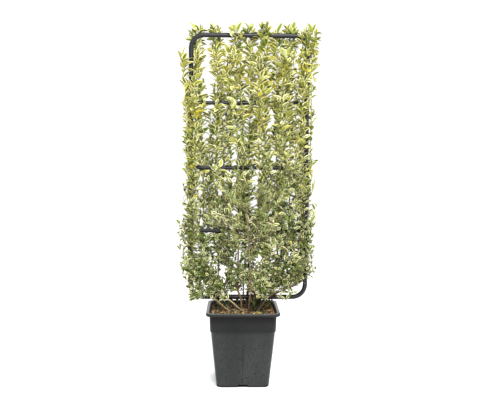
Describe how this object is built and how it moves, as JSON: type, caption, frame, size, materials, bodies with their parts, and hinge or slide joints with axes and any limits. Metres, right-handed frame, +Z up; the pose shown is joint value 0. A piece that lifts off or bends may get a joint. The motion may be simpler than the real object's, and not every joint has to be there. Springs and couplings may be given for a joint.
{
  "type": "potted golden privet espalier",
  "caption": "Golden privet trained flat: upright leafy shoots tied to a rounded black tube frame with crossbars, its stems fanning out of a tapered square plastic pot.",
  "frame": {"origin": "middle of the pot's flat underside", "axes": "+X along the tube frame towards the right as seen from the front, +Y towards the back, +Z up"},
  "size_m": [0.6356, 0.309, 1.55],
  "materials": {
    "pot": "matt recycled plastic, dark grey",
    "soil": "rough potting compost of peat and bark chips",
    "tube": "satin black coating on steel tube",
    "bark": "thin smooth bark, grey-brown to orange-brown",
    "leaves": "waxy leaf, green with creamy yellow edge",
    "ties": "black plastic cable tie"
  },
  "bodies": {
    "root": {"bough_02": "bark", "bough_03": "bark", "bough_04": "bark", "bough_06": "bark", "bough_07": "bark", "bough_08": "bark", "bough_09": "bark", "bough_10": "bark", "bough_12": "bark", "foliage_low_back": "leaves", "foliage_low_front": "leaves", "foliage_low_left": "leaves", "foliage_low_right": "leaves", "foliage_shoot_01": "leaves", "foliage_shoot_02": "leaves", "foliage_shoot_03": "leaves", "foliage_shoot_04": "leaves", "foliage_shoot_05": "leaves", "foliage_shoot_06": "leaves", "foliage_shoot_07": "leaves", "foliage_shoot_08": "leaves", "foliage_shoot_09": "leaves", "foliage_shoot_10": "leaves", "foliage_shoot_11": "leaves", "foliage_shoot_12": "leaves", "frame_bar_bottom": "tube", "frame_bar_top": "tube", "frame_corner_bottom_left": "tube", "frame_corner_bottom_right": "tube", "frame_corner_top_left": "tube", "frame_corner_top_right": "tube", "frame_crossbar_lower": "tube", "frame_crossbar_middle": "tube", "frame_crossbar_upper": "tube", "frame_post_left": "tube", "frame_post_right": "tube", "pot": "pot", "soil": "soil", "stem_centre": "bark", "stem_left_back": "bark", "stem_low_back": "bark", "stem_low_front": "bark", "stem_low_left": "bark", "stem_low_right": "bark", "stem_orange": "bark", "stem_outer_left": "bark", "stem_outer_right": "bark", "stem_right_back": "bark", "stem_right_front": "bark", "tie_1_top": "ties", "tie_2_top": "ties", "tie_3_upper": "ties", "tie_4_upper": "ties", "tie_5_middle": "ties", "tie_6_lower": "ties", "tie_7_lower": "ties", "tie_8_bottom": "ties"}
  },
  "joints": []
}
